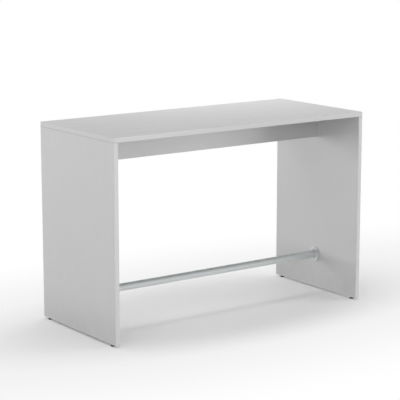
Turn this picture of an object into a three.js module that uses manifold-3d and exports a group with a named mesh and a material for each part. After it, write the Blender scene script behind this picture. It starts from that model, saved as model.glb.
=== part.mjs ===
import * as THREE from 'three';
import { mergeVertices } from 'three/addons/utils/BufferGeometryUtils.js';
import Module from 'manifold-3d';

const wasm = await Module();
wasm.setup();

// All sizes are in millimetres. The length runs along x, the front faces -y, and the floor is at z = 0.
const TABLE_LENGTH = 1600;
const TABLE_DEPTH = 700;
const TABLE_HEIGHT = 1050;

// Chipboard panels
const TOP_THICKNESS = 25;
const LEG_THICKNESS = 25;
const RAIL_THICKNESS = 25;
const RAIL_HEIGHT = 150;

// Plastic edge bands glued round the panels
const BAND_THICKNESS = 2;
const SOLE_BAND_THICKNESS = 1;
const ARRIS_RADIUS = 1.5;
const TOP_CORNER_RADIUS = 2.5;

// Foot rail tube
const FOOT_RAIL_HEIGHT = 200;
const FOOT_RAIL_DIAMETER = 40;
const FOOT_RAIL_WALL = 2;

// Turned socket that carries each end of the foot rail
const FLANGE_DIAMETER = 84;
const FLANGE_THICKNESS = 8;
const FLANGE_EDGE_RADIUS = 2;
const COLLAR_WALL = 3.7;
const COLLAR_REACH = 25;
const COLLAR_CHAMFER = 1;
const COLLAR_FILLET = 4;
const SOCKET_FLOOR = 3;

// Countersunk screws through the flange
const SCREW_COUNT = 3;
const SCREW_CIRCLE = 64;
const SCREW_DIAMETER = 5;
const SCREW_HEAD_DIAMETER = 9.6;
const SCREW_HEAD_RIM = 0.4;
const SCREW_HEAD_HEIGHT = 2.8;
const SCREW_LENGTH = 24;
const SCREW_TIP = 4;
const SCREW_KEY = 3;
const SCREW_KEY_DEPTH = 2;

// Set screw that locks the tube in the collar
const SET_SCREW_DIAMETER = 5;
const SET_SCREW_SINK = 0.4;
const SET_SCREW_KEY = 2.5;
const SET_SCREW_KEY_DEPTH = 1.6;

// Levelling foot
const FOOT_INSET = 45;
const PAD_DIAMETER = 24;
const PAD_HEIGHT = 5.4;
const PAD_CHAMFER = 0.8;
const PAD_SHOULDER = 1.6;
const PAD_FLOOR = 1.5;
const PAD_LIP = 1.5;
const BUTTON_DIAMETER = 12;
const NECK_DIAMETER = 7;
const HEX_ACROSS_FLATS = 14;
const HEX_HEIGHT = 3;
const STEM_DIAMETER = 8;
const STEM_LENGTH = 36;
const STEM_CHAMFER = 1;
const SLEEVE_DIAMETER = 13;
const SLEEVE_LENGTH = 20;
const SLEEVE_RIM_DIAMETER = 19;
const SLEEVE_RIM_HEIGHT = 1;
const SLEEVE_BARB_COUNT = 3;
const SLEEVE_BARB_RISE = 0.6;

// Cam fittings that pull two panels together
const CAM_SETBACK = 34;
const CAM_DIAMETER = 15;
const CAM_FLOOR = 0.8;
const CAM_CHAMFER = 0.6;
const CAM_RISE = 0.7;
const CAM_START_ANGLE = -90;
const CAM_END_ANGLE = 160;
const CAM_ENTRY_ANGLE = 110;
const CAM_STEPS = 10;
const CAM_KEY_SPAN = 8;
const CAM_KEY_WIDTH = 1.6;
const CAM_KEY_DEPTH = 4;
const HOOK_REACH = 4.3;
const BOLT_HEAD_DIAMETER = 7;
const BOLT_HEAD_LENGTH = 3;
const BOLT_HEAD_CHAMFER = 0.6;
const BOLT_NECK_DIAMETER = 4;
const BOLT_NECK_RUN = 2;
const BOLT_SHANK_DIAMETER = 7;
const BOLT_THREAD_DIAMETER = 6;
const BOLT_THREAD_LENGTH = 11;
const BOLT_THREAD_CHAMFER = 1;

// Wooden dowels that keep the panels in line
const DOWEL_DIAMETER = 8;
const DOWEL_IN_FACE = 15;
const DOWEL_IN_EDGE = 25;
const DOWEL_CHAMFER = 1;

// Where the fittings sit
const TOP_CAM_INSET = 90;
const TOP_DOWEL_STEP = 32;
const RAIL_DOWEL_STEP = 48;

// Clearance between a piece and the hole or recess that takes it
const GAP = 0.3;

// How far a cut runs out past the face it starts from
const RUN_OUT = 1;

// Number of flats that stand for a full turn
const TURN_LARGE = 36;
const TURN_MEDIUM = 20;
const TURN_SMALL = 12;
const ARC_STEPS = 2;

// Levels and half sizes that follow from the sizes above
const BEYOND = TABLE_LENGTH + TABLE_DEPTH + TABLE_HEIGHT;
const HALF_LENGTH = TABLE_LENGTH / 2;
const HALF_DEPTH = TABLE_DEPTH / 2;
const TOP_UNDERSIDE = TABLE_HEIGHT - TOP_THICKNESS;
const LEG_MIDDLE = HALF_LENGTH - LEG_THICKNESS / 2;
const LEG_INNER_FACE = HALF_LENGTH - LEG_THICKNESS;
const RAIL_LOW = TOP_UNDERSIDE - RAIL_HEIGHT;
const RAIL_MIDDLE = TOP_UNDERSIDE - RAIL_HEIGHT / 2;
const HEX_LOW = PAD_HEIGHT + GAP;
const HEX_HIGH = HEX_LOW + HEX_HEIGHT;
const LEG_LOW = HEX_HIGH + GAP + SLEEVE_RIM_HEIGHT;
const STEM_HIGH = HEX_HIGH + STEM_LENGTH;
const TUBE_RADIUS = FOOT_RAIL_DIAMETER / 2;
const COLLAR_BORE = TUBE_RADIUS + GAP;
const COLLAR_RADIUS = COLLAR_BORE + COLLAR_WALL;

const SIDES = [
  { name: 'left', sign: -1 },
  { name: 'right', sign: 1 },
];
const ENDS = [
  { name: 'front', sign: -1 },
  { name: 'back', sign: 1 },
];

const UP = new THREE.Vector3(0, 0, 1);
const DOWN = new THREE.Vector3(0, 0, -1);
const BACKWARD = new THREE.Vector3(0, 1, 0);
const RIGHTWARD = new THREE.Vector3(1, 0, 0);

// Materials
const boardMaterial = new THREE.MeshStandardMaterial({ color: '#c9cacb', roughness: 0.6, metalness: 0 });
const bandMaterial = new THREE.MeshStandardMaterial({ color: '#cbcccd', roughness: 0.5, metalness: 0 });
const tubeMaterial = new THREE.MeshStandardMaterial({ color: '#d2d5d5', roughness: 0.25, metalness: 1 });
const socketMaterial = new THREE.MeshStandardMaterial({ color: '#c6c9ca', roughness: 0.3, metalness: 1 });
const screwMaterial = new THREE.MeshStandardMaterial({ color: '#b9bcbe', roughness: 0.35, metalness: 1 });
const camMaterial = new THREE.MeshStandardMaterial({ color: '#a9acae', roughness: 0.5, metalness: 1 });
const dowelMaterial = new THREE.MeshStandardMaterial({ color: '#c9a878', roughness: 0.8, metalness: 0 });
const padMaterial = new THREE.MeshStandardMaterial({ color: '#1d1e20', roughness: 0.6, metalness: 0 });

// A closed solid from a geometry
function solidFrom(geometry) {
  const bare = new THREE.BufferGeometry();
  bare.setAttribute('position', geometry.getAttribute('position'));
  bare.setIndex(geometry.getIndex());
  const welded = mergeVertices(bare);
  const mesh = new wasm.Mesh({
    numProp: 3,
    vertProperties: welded.getAttribute('position').array,
    triVerts: Uint32Array.from(welded.getIndex().array),
  });
  return new wasm.Manifold(mesh);
}

// The geometry of a finished solid
function geometryFrom(solid) {
  const mesh = solid.getMesh();
  const shared = new THREE.BufferGeometry();
  shared.setAttribute('position', new THREE.BufferAttribute(mesh.vertProperties, mesh.numProp));
  shared.setIndex(new THREE.BufferAttribute(mesh.triVerts, 1));
  const faceted = shared.toNonIndexed();
  faceted.computeVertexNormals();
  return faceted;
}

// A rectangular block between two opposite corners
function block(low, high) {
  const size = new THREE.Vector3().subVectors(high, low);
  const middle = new THREE.Vector3().addVectors(high, low).divideScalar(2);
  const geometry = new THREE.BoxGeometry(size.x, size.y, size.z);
  geometry.translate(middle.x, middle.y, middle.z);
  return solidFrom(geometry);
}

// The part of a solid between two planes across one axis
function slice(solid, axis, from, to) {
  const low = new THREE.Vector3().setScalar(-BEYOND);
  const high = new THREE.Vector3().setScalar(BEYOND);
  low[axis] = from;
  high[axis] = to;
  return solid.intersect(block(low, high));
}

// A solid of revolution about z from a profile of radius and height, lowest point first
function turned(profile, facets) {
  const points = profile.map(([radius, height]) => new THREE.Vector2(radius, height));
  const geometry = new THREE.LatheGeometry(points, facets);
  geometry.rotateX(Math.PI / 2);
  return solidFrom(geometry);
}

// A round rod that starts at a point and runs along a direction
function rod(start, along, radius, length, facets) {
  const geometry = new THREE.CylinderGeometry(radius, radius, length, facets);
  geometry.translate(0, length / 2, 0);
  geometry.applyQuaternion(new THREE.Quaternion().setFromUnitVectors(BACKWARD, along));
  geometry.translate(start.x, start.y, start.z);
  return solidFrom(geometry);
}

// A drilled hole from its mouth on a face, inward to a depth
function hole(mouth, inward, radius, depth) {
  const start = mouth.clone().addScaledVector(inward, -RUN_OUT);
  return rod(start, inward, radius, depth + RUN_OUT, TURN_SMALL);
}

// A solid with a list of cuts taken out of it
function drilled(solid, cuts) {
  return cuts.reduce((rest, cut) => rest.subtract(cut), solid);
}

// A rectangle about the origin with rounded corners
function roundedOutline(width, depth, radius) {
  const across = width / 2 - radius;
  const along = depth / 2 - radius;
  const outline = new THREE.Shape();
  outline.absarc(across, along, radius, 0, Math.PI / 2);
  outline.absarc(-across, along, radius, Math.PI / 2, Math.PI);
  outline.absarc(-across, -along, radius, Math.PI, 1.5 * Math.PI);
  outline.absarc(across, -along, radius, 1.5 * Math.PI, 2 * Math.PI);
  return outline;
}

const table = new THREE.Group();
table.name = 'standing_meeting_table';

// Adds a named piece whose own z axis lies along a direction and whose own x axis faces another
function add(name, solid, material, origin = new THREE.Vector3(), along = UP, facing = RIGHTWARD) {
  const mesh = new THREE.Mesh(geometryFrom(solid), material);
  const across = new THREE.Vector3().crossVectors(along, facing);
  mesh.name = name;
  mesh.setRotationFromMatrix(new THREE.Matrix4().makeBasis(facing, across, along));
  mesh.position.copy(origin);
  table.add(mesh);
}

// Places of the fittings
const topCams = SIDES.flatMap((side) => ENDS.map((end) => ({
  name: `${end.name}_${side.name}`,
  sign: side.sign,
  y: end.sign * (HALF_DEPTH - TOP_CAM_INSET),
  dowelY: end.sign * (HALF_DEPTH - TOP_CAM_INSET - TOP_DOWEL_STEP),
})));
const railDowelHeights = [
  { name: 'upper', z: RAIL_MIDDLE + RAIL_DOWEL_STEP },
  { name: 'lower', z: RAIL_MIDDLE - RAIL_DOWEL_STEP },
];
const feet = SIDES.flatMap((side) => ENDS.map((end) => ({
  name: `${end.name}_${side.name}`,
  sign: side.sign,
  y: end.sign * (HALF_DEPTH - FOOT_INSET),
})));
const screwAngles = Array.from({ length: SCREW_COUNT }, (unused, index) => (
  (2 * Math.PI * index) / SCREW_COUNT - Math.PI / 2
));

// Holes for a cam bolt's thread and for a dowel in the face of a panel
const threadHole = (mouth, inward) => (
  hole(mouth, inward, BOLT_THREAD_DIAMETER / 2 + GAP, BOLT_THREAD_LENGTH + GAP)
);
const faceDowelHole = (mouth, inward) => (
  hole(mouth, inward, DOWEL_DIAMETER / 2 + GAP, DOWEL_IN_FACE + GAP)
);

// Holes for a cam bolt's shank and for a dowel in the edge of a panel
const shankHole = (mouth, inward) => (
  hole(mouth, inward, BOLT_SHANK_DIAMETER / 2 + GAP, CAM_SETBACK)
);
const edgeDowelHole = (mouth, inward) => (
  hole(mouth, inward, DOWEL_DIAMETER / 2 + GAP, DOWEL_IN_EDGE + GAP)
);

// How long a cam is in a panel whose bolts lie at a given depth
const camLength = (boltDepth) => boltDepth + BOLT_HEAD_DIAMETER / 2 + GAP + CAM_FLOOR;

// Recess in the face of a panel for a cam
function camRecess(mouth, inward, boltDepth) {
  const start = mouth.clone().addScaledVector(inward, -RUN_OUT);
  const depth = camLength(boltDepth) + GAP + RUN_OUT;
  return rod(start, inward, CAM_DIAMETER / 2 + GAP, depth, TURN_MEDIUM);
}

// Cam: a die-cast drum, its outer face at z = 0 and its bolt along +x. A spiral channel draws in the
// bolt's head, a narrower slot lets the neck through, and a cross in the face takes the driver.
function camSolid(boltDepth) {
  const radius = CAM_DIAMETER / 2;
  const low = -camLength(boltDepth);
  const drum = turned([
    [0, low],
    [radius - CAM_CHAMFER, low],
    [radius, low + CAM_CHAMFER],
    [radius, 0],
    [0, 0],
  ], TURN_MEDIUM);

  const headRoom = BOLT_HEAD_DIAMETER / 2 + GAP;
  const neckRoom = BOLT_NECK_DIAMETER / 2 + GAP;
  const lockRadius = Math.hypot(HOOK_REACH, BOLT_HEAD_DIAMETER / 2) + GAP;
  const start = THREE.MathUtils.degToRad(CAM_START_ANGLE);
  const end = THREE.MathUtils.degToRad(CAM_END_ANGLE);
  const entry = THREE.MathUtils.degToRad(CAM_ENTRY_ANGLE);

  const spiral = new THREE.Shape();
  spiral.moveTo(0, 0);
  for (let step = 0; step <= CAM_STEPS; step += 1) {
    const share = step / CAM_STEPS;
    const angle = start + share * (end - start);
    const reach = lockRadius + share * CAM_RISE;
    spiral.lineTo(reach * Math.cos(angle), reach * Math.sin(angle));
  }
  const channel = new THREE.ExtrudeGeometry(spiral, { depth: 2 * headRoom, bevelEnabled: false });
  channel.translate(0, 0, -boltDepth - headRoom);

  const slotStart = -Math.asin(neckRoom / lockRadius);
  const arc = new THREE.Shape();
  arc.absarc(0, 0, radius + RUN_OUT, slotStart, entry);
  arc.absarc(0, 0, lockRadius / 2, entry, slotStart, true);
  const slot = new THREE.ExtrudeGeometry(arc, {
    depth: 2 * neckRoom,
    bevelEnabled: false,
    curveSegments: CAM_STEPS / 2,
  });
  slot.translate(0, 0, -boltDepth - neckRoom);

  const mouth = new THREE.Vector3(0, 0, -boltDepth);
  const outward = new THREE.Vector3(Math.cos(entry), Math.sin(entry), 0);
  const halfSpan = CAM_KEY_SPAN / 2;
  const halfWidth = CAM_KEY_WIDTH / 2;
  const crossArm = (x, y) => block(
    new THREE.Vector3(-x, -y, -CAM_KEY_DEPTH),
    new THREE.Vector3(x, y, RUN_OUT),
  );
  return drilled(drum, [
    solidFrom(channel),
    solidFrom(slot),
    rod(mouth, outward, headRoom, radius + RUN_OUT, TURN_SMALL),
    crossArm(halfSpan, halfWidth),
    crossArm(halfWidth, halfSpan),
  ]);
}

// Cam bolt: screwed into one panel up to z = 0, its hooked head reaching up into the other panel's cam
const headStart = CAM_SETBACK - HOOK_REACH;
const headEnd = headStart + BOLT_HEAD_LENGTH;
const shankEnd = CAM_SETBACK - CAM_DIAMETER / 2 - BOLT_NECK_RUN;
const camBolt = turned([
  [0, -BOLT_THREAD_LENGTH],
  [BOLT_THREAD_DIAMETER / 2 - BOLT_THREAD_CHAMFER, -BOLT_THREAD_LENGTH],
  [BOLT_THREAD_DIAMETER / 2, BOLT_THREAD_CHAMFER - BOLT_THREAD_LENGTH],
  [BOLT_THREAD_DIAMETER / 2, 0],
  [BOLT_SHANK_DIAMETER / 2, 0],
  [BOLT_SHANK_DIAMETER / 2, shankEnd],
  [BOLT_NECK_DIAMETER / 2, shankEnd],
  [BOLT_NECK_DIAMETER / 2, headStart],
  [BOLT_HEAD_DIAMETER / 2, headStart],
  [BOLT_HEAD_DIAMETER / 2, headEnd - BOLT_HEAD_CHAMFER],
  [BOLT_HEAD_DIAMETER / 2 - BOLT_HEAD_CHAMFER, headEnd],
  [0, headEnd],
], TURN_SMALL);

// Dowel: z = 0 is where the two panels meet, and the longer end lies in the panel's edge
const dowel = turned([
  [0, -DOWEL_IN_FACE],
  [DOWEL_DIAMETER / 2 - DOWEL_CHAMFER, -DOWEL_IN_FACE],
  [DOWEL_DIAMETER / 2, DOWEL_CHAMFER - DOWEL_IN_FACE],
  [DOWEL_DIAMETER / 2, DOWEL_IN_EDGE - DOWEL_CHAMFER],
  [DOWEL_DIAMETER / 2 - DOWEL_CHAMFER, DOWEL_IN_EDGE],
  [0, DOWEL_IN_EDGE],
], TURN_SMALL);

// Countersunk screw: the head's flat face is at z = 0 and the point is down
function screwSolid(growth, rise) {
  return turned([
    [0, -SCREW_LENGTH - growth],
    [SCREW_DIAMETER / 2 + growth, SCREW_TIP - SCREW_LENGTH],
    [SCREW_DIAMETER / 2 + growth, -SCREW_HEAD_HEIGHT],
    [SCREW_HEAD_DIAMETER / 2 + growth, -SCREW_HEAD_RIM],
    [SCREW_HEAD_DIAMETER / 2 + growth, rise],
    [0, rise],
  ], TURN_SMALL);
}

// Hexagon recess for a key, its mouth at z = 0
function keyRecess(acrossFlats, depth) {
  const radius = acrossFlats / 2 / Math.cos(Math.PI / 6);
  return rod(new THREE.Vector3(0, 0, -depth), UP, radius, depth + RUN_OUT, 6);
}

// Tabletop: a slab with rounded arrises, whose outer rim is the edge bands
const topOutline = roundedOutline(TABLE_LENGTH, TABLE_DEPTH, TOP_CORNER_RADIUS);
const topGeometry = new THREE.ExtrudeGeometry(topOutline, {
  depth: TOP_THICKNESS - 2 * ARRIS_RADIUS,
  bevelThickness: ARRIS_RADIUS,
  bevelSize: ARRIS_RADIUS,
  bevelOffset: -ARRIS_RADIUS,
  bevelSegments: ARC_STEPS,
  curveSegments: ARC_STEPS,
});
topGeometry.translate(0, 0, TOP_UNDERSIDE + ARRIS_RADIUS);
const topSlab = solidFrom(topGeometry);
const topBandX = HALF_LENGTH - BAND_THICKNESS;
const bandY = HALF_DEPTH - BAND_THICKNESS;
const topMiddle = slice(topSlab, 'y', -bandY, bandY);
const topHoles = topCams.flatMap(({ sign, y, dowelY }) => [
  threadHole(new THREE.Vector3(sign * LEG_MIDDLE, y, TOP_UNDERSIDE), UP),
  faceDowelHole(new THREE.Vector3(sign * LEG_MIDDLE, dowelY, TOP_UNDERSIDE), UP),
]);
add('tabletop', drilled(slice(topMiddle, 'x', -topBandX, topBandX), topHoles), boardMaterial);
add('top_edge_front', slice(topSlab, 'y', -BEYOND, -bandY), bandMaterial);
add('top_edge_back', slice(topSlab, 'y', bandY, BEYOND), bandMaterial);
add('top_edge_left', slice(topMiddle, 'x', -BEYOND, -topBandX), bandMaterial);
add('top_edge_right', slice(topMiddle, 'x', topBandX, BEYOND), bandMaterial);

// Leg panels: upright slabs banded at the front, at the back and along the sole
const sleeveRoom = SLEEVE_DIAMETER / 2 + SLEEVE_BARB_RISE + GAP;
const soleBandHigh = LEG_LOW + SOLE_BAND_THICKNESS;
for (const side of SIDES) {
  const outline = roundedOutline(LEG_THICKNESS, TABLE_DEPTH, ARRIS_RADIUS);
  const geometry = new THREE.ExtrudeGeometry(outline, {
    depth: TOP_UNDERSIDE - LEG_LOW,
    bevelEnabled: false,
    curveSegments: ARC_STEPS,
  });
  geometry.translate(side.sign * LEG_MIDDLE, 0, LEG_LOW);
  const slab = solidFrom(geometry);
  const middle = slice(slab, 'y', -bandY, bandY);

  const outward = RIGHTWARD.clone().multiplyScalar(side.sign);
  const onFace = (y, z) => new THREE.Vector3(side.sign * LEG_INNER_FACE, y, z);
  const onAxis = (y, z) => new THREE.Vector3(side.sign * LEG_MIDDLE, y, z);
  const footHoles = feet.filter(({ sign }) => sign === side.sign).flatMap(({ y }) => [
    hole(onAxis(y, LEG_LOW), UP, sleeveRoom, SLEEVE_LENGTH + GAP),
    hole(onAxis(y, LEG_LOW), UP, STEM_DIAMETER / 2 + GAP, STEM_HIGH + GAP - LEG_LOW),
  ]);
  const topFittings = topCams.filter(({ sign }) => sign === side.sign).flatMap(({ y, dowelY }) => [
    camRecess(onFace(y, TOP_UNDERSIDE - CAM_SETBACK), outward, LEG_THICKNESS / 2),
    shankHole(onAxis(y, TOP_UNDERSIDE), DOWN),
    edgeDowelHole(onAxis(dowelY, TOP_UNDERSIDE), DOWN),
  ]);
  const railFittings = [
    threadHole(onFace(0, RAIL_MIDDLE), outward),
    ...railDowelHeights.map(({ z }) => faceDowelHole(onFace(0, z), outward)),
  ];
  const screwHoles = screwAngles.map((angle) => {
    const y = (SCREW_CIRCLE / 2) * Math.cos(angle);
    const z = FOOT_RAIL_HEIGHT + (SCREW_CIRCLE / 2) * Math.sin(angle);
    const depth = SCREW_LENGTH - FLANGE_THICKNESS + 2 * GAP;
    return hole(onFace(y, z), outward, SCREW_DIAMETER / 2 + GAP, depth);
  });
  const panel = slice(middle, 'z', soleBandHigh, BEYOND);
  const sole = slice(middle, 'z', -BEYOND, soleBandHigh);
  const holes = [...footHoles, ...topFittings, ...railFittings, ...screwHoles];
  add(`${side.name}_leg_panel`, drilled(panel, holes), boardMaterial);
  add(`${side.name}_leg_edge_front`, slice(slab, 'y', -BEYOND, -bandY), bandMaterial);
  add(`${side.name}_leg_edge_back`, slice(slab, 'y', bandY, BEYOND), bandMaterial);
  add(`${side.name}_leg_edge_sole`, drilled(sole, footHoles), bandMaterial);
}

// Stretcher rail: stands on edge between the legs under the top, with its lower edge banded
const railOutline = new THREE.Shape();
const railSide = RAIL_THICKNESS / 2;
const railRound = railSide - ARRIS_RADIUS;
railOutline.moveTo(railSide, TOP_UNDERSIDE);
railOutline.lineTo(-railSide, TOP_UNDERSIDE);
railOutline.absarc(-railRound, RAIL_LOW + ARRIS_RADIUS, ARRIS_RADIUS, Math.PI, 1.5 * Math.PI);
railOutline.absarc(railRound, RAIL_LOW + ARRIS_RADIUS, ARRIS_RADIUS, 1.5 * Math.PI, 2 * Math.PI);
const railGeometry = new THREE.ExtrudeGeometry(railOutline, {
  depth: 2 * LEG_INNER_FACE,
  bevelEnabled: false,
  curveSegments: ARC_STEPS,
});
railGeometry.applyMatrix4(new THREE.Matrix4().makeBasis(BACKWARD, UP, RIGHTWARD));
railGeometry.translate(-LEG_INNER_FACE, 0, 0);
const railSlab = solidFrom(railGeometry);
const railBandHigh = RAIL_LOW + BAND_THICKNESS;
const railHoles = SIDES.flatMap(({ sign }) => {
  const inward = RIGHTWARD.clone().multiplyScalar(-sign);
  const onEnd = (z) => new THREE.Vector3(sign * LEG_INNER_FACE, 0, z);
  const camMouth = new THREE.Vector3(sign * (LEG_INNER_FACE - CAM_SETBACK), railSide, RAIL_MIDDLE);
  return [
    camRecess(camMouth, BACKWARD.clone().negate(), railSide),
    shankHole(onEnd(RAIL_MIDDLE), inward),
    ...railDowelHeights.map(({ z }) => edgeDowelHole(onEnd(z), inward)),
  ];
});
add('stretcher_rail', drilled(slice(railSlab, 'z', railBandHigh, BEYOND), railHoles), boardMaterial);
add('stretcher_edge_bottom', slice(railSlab, 'z', -BEYOND, railBandHigh), bandMaterial);

// Foot rail: a steel tube from one socket's floor to the other's
const tubeEnd = LEG_INNER_FACE - SOCKET_FLOOR - GAP;
const tubeOutline = new THREE.Shape().absarc(0, 0, TUBE_RADIUS, 0, 2 * Math.PI);
tubeOutline.holes.push(new THREE.Path().absarc(0, 0, TUBE_RADIUS - FOOT_RAIL_WALL, 0, 2 * Math.PI));
const tubeGeometry = new THREE.ExtrudeGeometry(tubeOutline, {
  depth: 2 * tubeEnd,
  bevelEnabled: false,
  curveSegments: TURN_LARGE / 2,
});
tubeGeometry.translate(0, 0, -tubeEnd);
const footRailAxis = new THREE.Vector3(0, 0, FOOT_RAIL_HEIGHT);
add('foot_rail_tube', solidFrom(tubeGeometry), tubeMaterial, footRailAxis, RIGHTWARD, BACKWARD);

// Socket: a flange with a rounded rim, swept up through a fillet into the collar that takes the tube.
// Its own z axis points away from the leg and its own x axis points down.
const flangeRadius = FLANGE_DIAMETER / 2;
const socketProfile = new THREE.Path();
socketProfile.moveTo(0, 0);
socketProfile.lineTo(flangeRadius, 0);
socketProfile.absarc(
  flangeRadius - FLANGE_EDGE_RADIUS,
  FLANGE_THICKNESS - FLANGE_EDGE_RADIUS,
  FLANGE_EDGE_RADIUS,
  0,
  Math.PI / 2,
);
socketProfile.absarc(
  COLLAR_RADIUS + COLLAR_FILLET,
  FLANGE_THICKNESS + COLLAR_FILLET,
  COLLAR_FILLET,
  1.5 * Math.PI,
  Math.PI,
  true,
);
socketProfile.lineTo(COLLAR_RADIUS, COLLAR_REACH - COLLAR_CHAMFER);
socketProfile.lineTo(COLLAR_RADIUS - COLLAR_CHAMFER, COLLAR_REACH);
socketProfile.lineTo(COLLAR_BORE, COLLAR_REACH);
socketProfile.lineTo(COLLAR_BORE, SOCKET_FLOOR);
socketProfile.lineTo(0, SOCKET_FLOOR);
const socketPoints = socketProfile.getPoints(ARC_STEPS).map(({ x, y }) => [x, y]);
const socketBody = turned(socketPoints, TURN_LARGE);

const screwSeat = FLANGE_THICKNESS - GAP;
const screwPlaces = screwAngles.map((angle) => {
  const turn = angle + Math.PI / 2;
  return [(SCREW_CIRCLE / 2) * Math.cos(turn), (SCREW_CIRCLE / 2) * Math.sin(turn)];
});
const screwSeats = screwPlaces.map(([x, y]) => screwSolid(GAP, RUN_OUT).translate([x, y, screwSeat]));
const setScrewReach = (FLANGE_THICKNESS + COLLAR_FILLET + COLLAR_REACH - COLLAR_CHAMFER) / 2;
const setScrewAt = new THREE.Vector3(TUBE_RADIUS, 0, setScrewReach);
const setScrewHole = rod(
  setScrewAt,
  RIGHTWARD,
  SET_SCREW_DIAMETER / 2 + GAP,
  COLLAR_RADIUS - TUBE_RADIUS + RUN_OUT,
  TURN_SMALL,
);
const socket = drilled(socketBody, [...screwSeats, setScrewHole]);
const screw = drilled(screwSolid(0, 0), [keyRecess(SCREW_KEY, SCREW_KEY_DEPTH)]);

// Set screw: its outer end, with the key's hexagon, is at z = 0
const setScrewOuter = COLLAR_RADIUS - SET_SCREW_SINK;
const setScrewLength = setScrewOuter - TUBE_RADIUS - GAP;
const setScrewRod = rod(
  new THREE.Vector3(0, 0, -setScrewLength),
  UP,
  SET_SCREW_DIAMETER / 2,
  setScrewLength,
  TURN_SMALL,
);
const setScrew = drilled(setScrewRod, [keyRecess(SET_SCREW_KEY, SET_SCREW_KEY_DEPTH)]);

for (const side of SIDES) {
  const inward = RIGHTWARD.clone().multiplyScalar(-side.sign);
  const base = new THREE.Vector3(side.sign * LEG_INNER_FACE, 0, FOOT_RAIL_HEIGHT);
  const across = new THREE.Vector3().crossVectors(inward, DOWN);
  add(`${side.name}_foot_rail_socket`, socket, socketMaterial, base, inward, DOWN);
  screwPlaces.forEach(([x, y], index) => {
    const origin = base.clone().addScaledVector(inward, screwSeat);
    origin.addScaledVector(DOWN, x).addScaledVector(across, y);
    add(`${side.name}_socket_screw_${index + 1}`, screw, screwMaterial, origin, inward, DOWN);
  });
  const setScrewOrigin = base.clone().addScaledVector(inward, setScrewReach);
  setScrewOrigin.addScaledVector(DOWN, setScrewOuter);
  add(`${side.name}_socket_set_screw`, setScrew, screwMaterial, setScrewOrigin, DOWN, RIGHTWARD);
}

// Levelling foot, part one: a sleeve knocked into the sole of the leg, with barbs that grip the board.
// All pieces of the foot have their axis on z, and z = 0 is the floor.
const sleeveRadius = SLEEVE_DIAMETER / 2;
const sleeveBore = STEM_DIAMETER / 2 + GAP;
const barbHeight = SLEEVE_LENGTH / SLEEVE_BARB_COUNT;
const sleeveProfile = [
  [sleeveBore, LEG_LOW - SLEEVE_RIM_HEIGHT],
  [SLEEVE_RIM_DIAMETER / 2, LEG_LOW - SLEEVE_RIM_HEIGHT],
  [SLEEVE_RIM_DIAMETER / 2, LEG_LOW],
];
for (let barb = 0; barb < SLEEVE_BARB_COUNT; barb += 1) {
  sleeveProfile.push([sleeveRadius + SLEEVE_BARB_RISE, LEG_LOW + barb * barbHeight]);
  sleeveProfile.push([sleeveRadius, LEG_LOW + (barb + 1) * barbHeight]);
}
sleeveProfile.push([sleeveBore, LEG_LOW + SLEEVE_LENGTH]);
sleeveProfile.push([sleeveBore, LEG_LOW - SLEEVE_RIM_HEIGHT]);
const sleeve = turned(sleeveProfile, TURN_SMALL);

// Levelling foot, part two: a threaded stem with a hexagon for a spanner and a button that the pad holds
const buttonLow = PAD_FLOOR + GAP;
const lipLow = PAD_HEIGHT - PAD_LIP;
const buttonHigh = lipLow - GAP;
const hexRadius = HEX_ACROSS_FLATS / 2 / Math.cos(Math.PI / 6);
const hexagon = rod(new THREE.Vector3(0, 0, HEX_LOW), UP, hexRadius, HEX_HEIGHT, 6);
const stem = turned([
  [0, buttonLow],
  [BUTTON_DIAMETER / 2, buttonLow],
  [BUTTON_DIAMETER / 2, buttonHigh],
  [NECK_DIAMETER / 2, buttonHigh],
  [NECK_DIAMETER / 2, HEX_LOW + HEX_HEIGHT / 2],
  [STEM_DIAMETER / 2, HEX_LOW + HEX_HEIGHT / 2],
  [STEM_DIAMETER / 2, STEM_HIGH - STEM_CHAMFER],
  [STEM_DIAMETER / 2 - STEM_CHAMFER, STEM_HIGH],
  [0, STEM_HIGH],
], TURN_SMALL).add(hexagon);

// Levelling foot, part three: a round pad that snaps over the button and lets the stem turn in it
const padRadius = PAD_DIAMETER / 2;
const pad = turned([
  [0, 0],
  [padRadius - PAD_CHAMFER, 0],
  [padRadius, PAD_CHAMFER],
  [padRadius, PAD_HEIGHT - PAD_SHOULDER],
  [padRadius - PAD_SHOULDER, PAD_HEIGHT],
  [NECK_DIAMETER / 2 + GAP, PAD_HEIGHT],
  [NECK_DIAMETER / 2 + GAP, lipLow],
  [BUTTON_DIAMETER / 2 + GAP, lipLow],
  [BUTTON_DIAMETER / 2 + GAP, PAD_FLOOR],
  [0, PAD_FLOOR],
], TURN_MEDIUM);

for (const { name, sign, y } of feet) {
  const origin = new THREE.Vector3(sign * LEG_MIDDLE, y, 0);
  add(`${name}_foot_sleeve`, sleeve, screwMaterial, origin);
  add(`${name}_foot_stem`, stem, screwMaterial, origin);
  add(`${name}_foot_pad`, pad, padMaterial, origin);
}

// Cams, bolts and dowels between the legs and the top
const legCam = camSolid(LEG_THICKNESS / 2);
for (const { name, sign, y, dowelY } of topCams) {
  const inward = RIGHTWARD.clone().multiplyScalar(-sign);
  const camOrigin = new THREE.Vector3(sign * LEG_INNER_FACE, y, TOP_UNDERSIDE - CAM_SETBACK);
  const boltOrigin = new THREE.Vector3(sign * LEG_MIDDLE, y, TOP_UNDERSIDE);
  const dowelOrigin = new THREE.Vector3(sign * LEG_MIDDLE, dowelY, TOP_UNDERSIDE);
  add(`${name}_top_cam`, legCam, camMaterial, camOrigin, inward, UP);
  add(`${name}_top_cam_bolt`, camBolt, screwMaterial, boltOrigin, DOWN);
  add(`${name}_top_dowel`, dowel, dowelMaterial, dowelOrigin, DOWN);
}

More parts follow.
